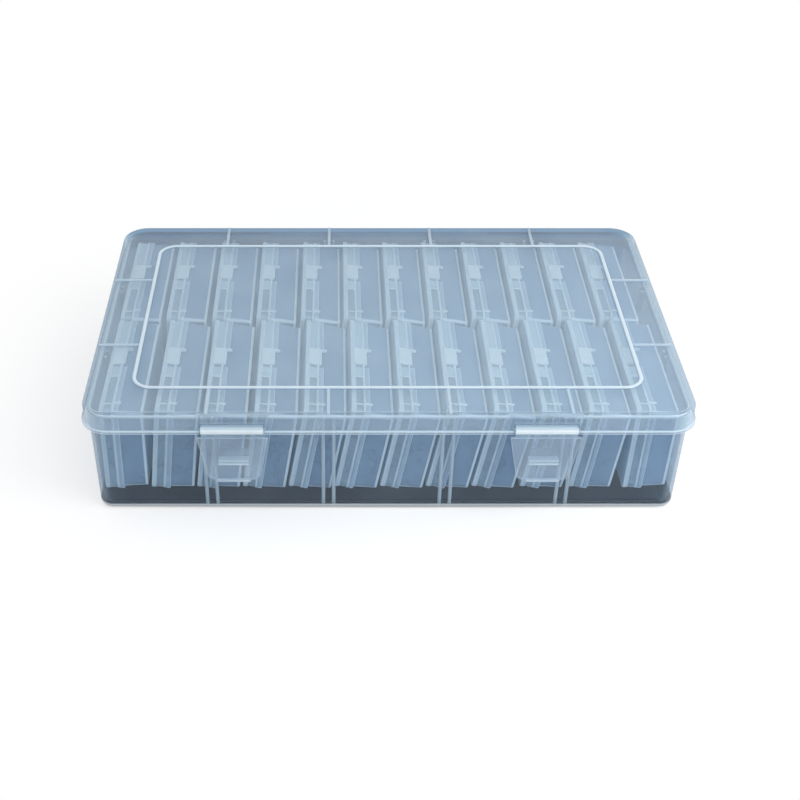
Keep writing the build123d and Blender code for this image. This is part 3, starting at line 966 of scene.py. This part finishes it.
def build_latches():
    """Drop latches: clip on the lid's pin, tapered tab with rounded lower corners, hook bar and grip."""
    s = sizes("latch")
    finish = finish_of("latch")
    top_corner, rounding, inset, end_shift = 0.6, 0.35, -0.5, 0.5
    half, hook_half, grip_half = s.width / 2, s.hook_width / 2, s.grip_width / 2
    top_x, bottom_x = s.tab_top / 2 - top_corner, s.tab_bottom / 2 - s.tab_corner + end_shift
    for name in SIDES:
        node = f"latch_{name}"
        x, pin_y, pin_z = joint_place(f"{node}_pivot")
        end_z = node_box(node)[0][2]
        front = pin_y - s.barrel
        back = front + s.plate
        neck_z = pin_z - s.neck_drop
        hook_z = pin_z - s.hook_drop
        hook_low, catch_y = hook_z - s.hook_height, back + s.catch_depth
        circles = [
            (x + top_x, neck_z - top_corner, top_corner),
            (x - top_x, neck_z - top_corner, top_corner),
            (x - bottom_x, end_z + s.tab_corner, s.tab_corner),
            (x + bottom_x, end_z + s.tab_corner, s.tab_corner),
        ]
        # Painted highlight along the tab's rounded edges.
        lit = [(0, 0, rounding, 0.4), (0, s.plate, rounding, 0.4)]
        profile = rounded_profile([(inset, 0, 0, 0), *lit, (inset, s.plate, 0, 0)], strip=0)
        verts, faces, edge = swept(hull_path(circles, 7, 0.6), profile)
        tab = np.column_stack([verts[:, 0], back - verts[:, 2], verts[:, 1]]), faces, edge
        on_pin, at_hook, at_grip = around(x, half), around(x, hook_half), around(x, grip_half)
        # Painted highlight: the clip, hook and grip carry glow values, and the bar along the hook's lower
        # edge glows all over.
        shapes = [
            tab,
            block(on_pin, (front, back), (neck_z - top_corner, pin_z - s.pin), 0.4, 0.3, 0.15),
            clip(s.barrel, s.pin + s.fit, LATCH_MOUTH, on_pin, pin_y, pin_z, 0.9, (-1.1, 0.6)),
            block(at_hook, (front + rounding, catch_y), (hook_low, hook_z), 0.4, 0.4, 0.25, 0.95),
            block(at_hook, (front + rounding / 2, back), (hook_low, hook_low + s.bar), 0.3, 0.25, 1, 1, 1),
            block(at_grip, (front - s.grip, front + rounding), (end_z, end_z + s.grip), 0.5, 0.4, 0.3),
        ]
        add_piece(f"{node}_body", joined(shapes), finish, node, [node])


# ---- small boxes
def box_place(name):
    """Where a small box stands, read from its lid's mesh: lower left corner, and directions across and up.

    The lid's largest faces look straight across the box, so their normal gives the direction across it, and
    the lowest values across and up along the lid's own directions give its corner.
    """
    mesh = frame["nodes"][f"{name}_lid"].data
    verts = np.empty(len(mesh.vertices) * 3, np.float32)
    mesh.vertices.foreach_get("co", verts)
    verts = verts.reshape(-1, 3) / MM
    normals = np.array([face.normal for face in mesh.polygons])
    areas = np.array([face.area for face in mesh.polygons])
    across = -normals[np.argmax(areas)]
    across *= np.sign(across[0])
    across = unit(np.array([across[0], 0, across[2]]))
    up = np.array([-across[2], 0, across[0]])
    corner = across * (verts @ across).min() + up * (verts @ up).min()
    corner[1] = (verts[:, 1].min() + verts[:, 1].max()) / 2
    return corner, across, up


def stood(shape, place):
    """A shape given as (across, along, up) in a small box's own directions, set where that box stands."""
    corner, across, up = place
    verts, faces, edge = shape
    along = np.array([0.0, 1.0, 0.0])
    return corner + verts[:, :1] * across + verts[:, 1:2] * along + verts[:, 2:] * up, faces, edge


def box_path(s, end_inset, inset, corner, top_places=()):
    """Outline of a small box seen across it, lying in the plane of its length and height."""
    width, height = s.length - 2 * end_inset, s.height - 2 * inset - s.foot_rise
    middle = (0, (s.height + s.foot_rise) / 2)
    return rounded_rectangle(width, height, corner, ARC_STEPS, 0.8, middle, back=top_places)


def small_lid(s):
    """Shallow lid: plate with a bead each side of a groove, skirt, snap latch, frame and end bars on top."""
    middle = -CORNER_SHARE * s.lid_corner
    step, bar = 0.3, 0.7
    inside = -s.groove - s.wall
    near, far = s.face_rail, s.lid_depth - s.mouth_rail
    # The last value of each corner is the strength of its painted highlight.
    corners = [
        (middle, 0, 0, 0),
        (0, 0, 0.5, 0.9),
        (0, near, 0.3, 0.6),
        (-s.groove, near + step, 0.2, 0.15),
        (-s.groove, far - step, 0.2, 0.15),
        (0, far, 0.2, 0.7),
        (0, s.lid_depth, 0.3, 0.8),
        (inside, s.lid_depth, 0.2, 0.3),
        (inside, s.wall, 0.4, 0.1),
        (middle, s.wall, 0, 0),
    ]
    profile = rounded_profile(corners, fade=0.3, strip=2.2)
    top = s.height
    under, over, pad_top = top - SUNK, top + s.latch_height, top - s.groove / 2
    front, back = around(s.latch_back, s.latch_length / 2)
    frame_front = front - s.frame_length
    window_front = s.window_end - s.length / 2
    bars, pads = (0.2, 0.2), (0.5, 0.1)
    bar_from, bar_to, pad_from, frame_gap = 0.5, 1.1, 1.7, 1.6
    stop_foot, stop_short, stop_low = 0.2, 0.4, 0.3
    # What lies across the groove: start, end, top, roundings, painted glow of its edges and of its body
    in_groove = [
        (back + bar_from, back + bar_to, top, bars, 0.9, 0.8),
        (back + pad_from, s.length / 2 - s.lid_corner, pad_top, pads, 0.35, 0.3),
        (frame_front, front - frame_gap, pad_top, pads, 0.4, 0.15),
        (frame_front - bar, frame_front, top, bars, 0.9, 0.7),
        (window_front - bar, window_front, top, bars, 0.8, 0.6),
    ]
    lip = (s.latch_end - SUNK, s.lip_end), (back - s.lip_length, back), (under, over)
    stop = (far, s.lip_end - stop_short), around(window_front, bar), (top - stop_foot, over - stop_low)
    shapes = [
        turned(swept(box_path(s, 0, 0, s.lid_corner), profile, bend_glow=0.35)),
        block((s.latch_start, s.latch_end), (front, back), (under, over), 0.5, 0.4, 1.0, body_glow=0.4),
        block(*lip, 0.4, 0.3, 1.0, body_glow=1.0),
    ]
    for start, end, height, roundings, glow, body_glow in in_groove:
        spans = (near, far), (start, end), (under, height)
        shapes.append(block(*spans, *roundings, glow, body_glow=body_glow))
    return joined([*shapes, block(*stop, 0.3, 0.2, 1.0, body_glow=1.0)])


def small_tray(s):
    """Drafted bin with a flange round its mouth, broken beside the snap latch, and a hinge web below."""
    taper = math.tan(s.tray_draft)
    middle = -CORNER_SHARE * s.tray_corner
    seam_gap, flange_inset, notch_front, notch_fade, fade = 0.1, 0.25, 1.3, 0.4, 0.3
    seam, far = s.lid_depth + seam_gap, s.thick
    flange, out = seam + s.flange, s.tray_inset - flange_inset
    run = taper * (far - seam)
    half = s.latch_length / 2
    notch = (s.latch_back - half - notch_front, s.latch_back + half - s.lip_length)
    path = box_path(s, s.end_inset, s.tray_inset, s.tray_corner, cut_places([notch]))
    corners = [
        (middle, far - s.wall, 0, 0),
        (-s.wall - run, far - s.wall, 0.8, 0.1),
        (-s.wall, seam, 0.2, 0.3),
        (out, seam, 0.2, 0.35),
        (out, flange, 0.3, 0.7),
        (-taper * s.flange, flange, 0.2, 0.1),
        # Painted highlight: a light line along the tray's far edge.
        ((s.bright_edge + fade) * taper - run, far - s.bright_edge - fade, 0, 0),
        (s.bright_edge * taper - run, far - s.bright_edge, 0, 0.95),
        (-run, far, 1.0, 1.0),
        (middle, far, 0, 0),
    ]
    profile = rounded_profile(corners, fade=fade, strip=2.2)
    offsets, heights, glow = round_the_path(profile, path)
    beside_latch = in_cut(path, 1, notch)
    offsets[:, beside_latch] = np.minimum(offsets[:, beside_latch], 0)
    glow[(heights < flange + notch_fade) & beside_latch] = 0.0
    across, up = (s.lid_depth, s.lid_depth + s.web_thick), (-s.web_drop, s.tray_inset + s.foot_rise + SUNK)
    web = block(across, around(0, s.web_length / 2), up, 0.3, 0.25, 0.15)
    # The tray's rounded corners get painted glints from bend_glow.
    return joined([turned(swept(path, (offsets, heights, glow), bend_glow=0.9)), web])


def box_names():
    """Names of all the small boxes' bodies."""
    return [body for body in frame["bodies"] if body.startswith("box_")]


def build_small_parts(kind, finish, shape):
    """The lid or the tray of every small box, set where each box stands."""
    for name in box_names():
        piece = stood(shape, box_place(name))
        add_piece(f"{name}_{kind}_shell", piece, finish, name, [f"{name}_{kind}"])


# ---- stage
# Each lamp's place in metres, its power in watts and its width in metres
LAMPS = {
    "key_lamp": ((0.42, -0.28, 0.46), 2.3, 0.4),
    "fill_lamp": ((-0.3, -0.45, 0.7), 1.2, 0.7),
    "back_lamp": ((0.2, 0.5, 0.95), 0.3, 0.6),
}


def seen(tree):
    """One for rays that the eye sees straight, in a mirror or through glass, and nought for other light."""
    rays = add_node(tree, "LightPath")
    most = rays["Is Camera Ray"]
    for kind in ("Is Glossy Ray", "Is Transmission Ray"):
        most = add_node(tree, "Math", {"operation": "MAXIMUM"}, {0: most, 1: rays[kind]})[0]
    return most


def pale_floor(s):
    """Matt pale paint that shows the object's shadow, and fades to plain white away from the object."""
    material, tree = new_material("pale_matt_paint")
    matt = {"Base Color": s.floor_colour, "Roughness": 0.9, "Specular IOR Level": 0.0}
    paint = add_node(tree, "BsdfPrincipled", matt)[0]
    white = add_node(tree, "Emission", {"Color": WHITE})[0]
    place = add_node(tree, "TexCoord")["Object"]
    away = add_node(tree, "VectorMath", {"operation": "LENGTH"}, {0: place})["Value"]
    fade = {"From Min": s.fade_from * MM, "From Max": s.fade_to * MM}
    far = add_node(tree, "MapRange", fade, {"Value": away})["Result"]
    share_white = add_node(tree, "Math", {"operation": "MULTIPLY"}, {0: far, 1: seen(tree)})[0]
    mixed = add_node(tree, "MixShader", links={0: share_white, 1: paint, 2: white})[0]
    add_node(tree, "OutputMaterial", links={"Surface": mixed})
    return material


def add_floor(s):
    """Square floor, a little below the object's foot so that the two faces don't flicker."""
    half, below = s.floor_half * MM, -0.3 * MM
    mesh = bpy.data.meshes.new("floor")
    corners = [(x * half, y * half, below) for x, y in ((-1, -1), (1, -1), (1, 1), (-1, 1))]
    mesh.from_pydata(corners, [], [(0, 1, 2, 3)])
    mesh.materials.append(pale_floor(s))
    floor = bpy.data.objects.new("floor", mesh)
    bpy.context.scene.collection.objects.link(floor)


def add_surroundings(s):
    """Plain white all round: full for the eye, and weaker as light on the object."""
    world = bpy.data.worlds.new("white_surroundings")
    bpy.context.scene.world = world
    world.use_nodes = True
    tree = world.node_tree
    background = tree.nodes["Background"]
    background.inputs["Color"].default_value = WHITE
    strength = add_node(tree, "Math", {"operation": "MAXIMUM", 1: s.surroundings}, {0: seen(tree)})
    tree.links.new(strength[0], background.inputs["Strength"])


def add_lamps():
    """Square lamps aimed at the floor's middle: tilt acos(-z / length), turn atan2(y, x) less a quarter."""
    for name, (place, watts, across) in LAMPS.items():
        data = bpy.data.lights.new(name, "AREA")
        data.energy = watts
        data.size = across
        aim = -np.array(place)
        tilt = math.acos(-aim[2] / np.linalg.norm(aim))
        lamp = bpy.data.objects.new(name, data)
        lamp.location = place
        lamp.rotation_euler = (tilt, 0, math.atan2(aim[1], aim[0]) - math.pi / 2)
        bpy.context.scene.collection.objects.link(lamp)


def add_camera(s):
    """Camera in front of the lid, looking down at it."""
    low, high = node_box("case_lid")
    lid = sizes("lid")
    front, top = low[1] + lid.bead, high[2] - lid.panel_rib_height
    data = bpy.data.cameras.new("camera")
    data.lens = s.focal * data.sensor_width
    data.shift_x = s.shift
    data.shift_y = s.rise
    camera = bpy.data.objects.new("camera", data)
    camera.location = np.array([-s.camera_x, front - s.camera_y, top + s.camera_z]) * MM
    camera.rotation_euler = (math.pi / 2 - s.pitch, 0, 0)
    bpy.context.scene.collection.objects.link(camera)
    bpy.context.scene.camera = camera


def build_stage():
    """Pale floor, white surroundings, soft lamps and the camera, and rays enough for many clear walls."""
    s, scene = sizes("stage"), bpy.context.scene
    add_floor(s)
    add_surroundings(s)
    add_lamps()
    add_camera(s)
    scene.view_settings.view_transform = "Standard"
    scene.cycles.transparent_max_bounces = 64
    scene.cycles.max_bounces = 16


# ---- add-on
class ORGANIZER_OT_stage(bpy.types.Operator):
    """Build the floor, the lamps and the camera"""

    bl_idname = "organizer.stage"
    bl_label = "Stage"

    def execute(self, context):
        build_stage()
        return {"FINISHED"}


class ORGANIZER_OT_case_base(bpy.types.Operator):
    """Build the case's base"""

    bl_idname = "organizer.case_base"
    bl_label = "Case base"

    def execute(self, context):
        build_case_base()
        return {"FINISHED"}


class ORGANIZER_OT_case_lid(bpy.types.Operator):
    """Build the case's lid"""

    bl_idname = "organizer.case_lid"
    bl_label = "Case lid"

    def execute(self, context):
        build_case_lid()
        return {"FINISHED"}


class ORGANIZER_OT_latches(bpy.types.Operator):
    """Build the two front latches"""

    bl_idname = "organizer.latches"
    bl_label = "Front latches"

    def execute(self, context):
        build_latches()
        return {"FINISHED"}


class ORGANIZER_OT_small_lids(bpy.types.Operator):
    """Build the lids of the small boxes"""

    bl_idname = "organizer.small_lids"
    bl_label = "Small box lids"

    def execute(self, context):
        build_small_parts("lid", finish_of("box_lid"), small_lid(sizes("box")))
        return {"FINISHED"}


class ORGANIZER_OT_small_trays(bpy.types.Operator):
    """Build the trays of the small boxes"""

    bl_idname = "organizer.small_trays"
    bl_label = "Small box trays"

    def execute(self, context):
        build_small_parts("tray", finish_of("tray"), small_tray(sizes("box")))
        return {"FINISHED"}


OPERATORS = [
    ORGANIZER_OT_stage,
    ORGANIZER_OT_case_base,
    ORGANIZER_OT_case_lid,
    ORGANIZER_OT_latches,
    ORGANIZER_OT_small_lids,
    ORGANIZER_OT_small_trays,
]


class ORGANIZER_PT_panel(bpy.types.Panel):
    """Lists the pieces in build order, then their sizes and finishes"""

    bl_idname = "ORGANIZER_PT_panel"
    bl_label = "Bead organizer"
    bl_space_type = "VIEW_3D"
    bl_region_type = "UI"
    bl_category = "Organizer"

    def draw(self, context):
        for step in OPERATORS:
            self.layout.operator(step.bl_idname)
        for key, group in GROUPS.items():
            box = self.layout.box()
            for name in group.__annotations__:
                box.prop(getattr(context.scene, key), name)


CLASSES = [*GROUPS.values(), *OPERATORS, ORGANIZER_PT_panel]


def register():
    """Adds the classes and the scene's sizes."""
    for cls in CLASSES:
        bpy.utils.register_class(cls)
    for key, group in GROUPS.items():
        setattr(bpy.types.Scene, key, bpy.props.PointerProperty(type=group))


def unregister():
    """Takes them away again."""
    for key in GROUPS:
        delattr(bpy.types.Scene, key)
    for cls in reversed(CLASSES):
        bpy.utils.unregister_class(cls)


def main():
    """Builds every piece in order."""
    register()
    bpy.ops.organizer.stage()
    bpy.ops.organizer.case_base()
    bpy.ops.organizer.case_lid()
    bpy.ops.organizer.latches()
    bpy.ops.organizer.small_lids()
    bpy.ops.organizer.small_trays()


if __name__ == "__main__":
    main()
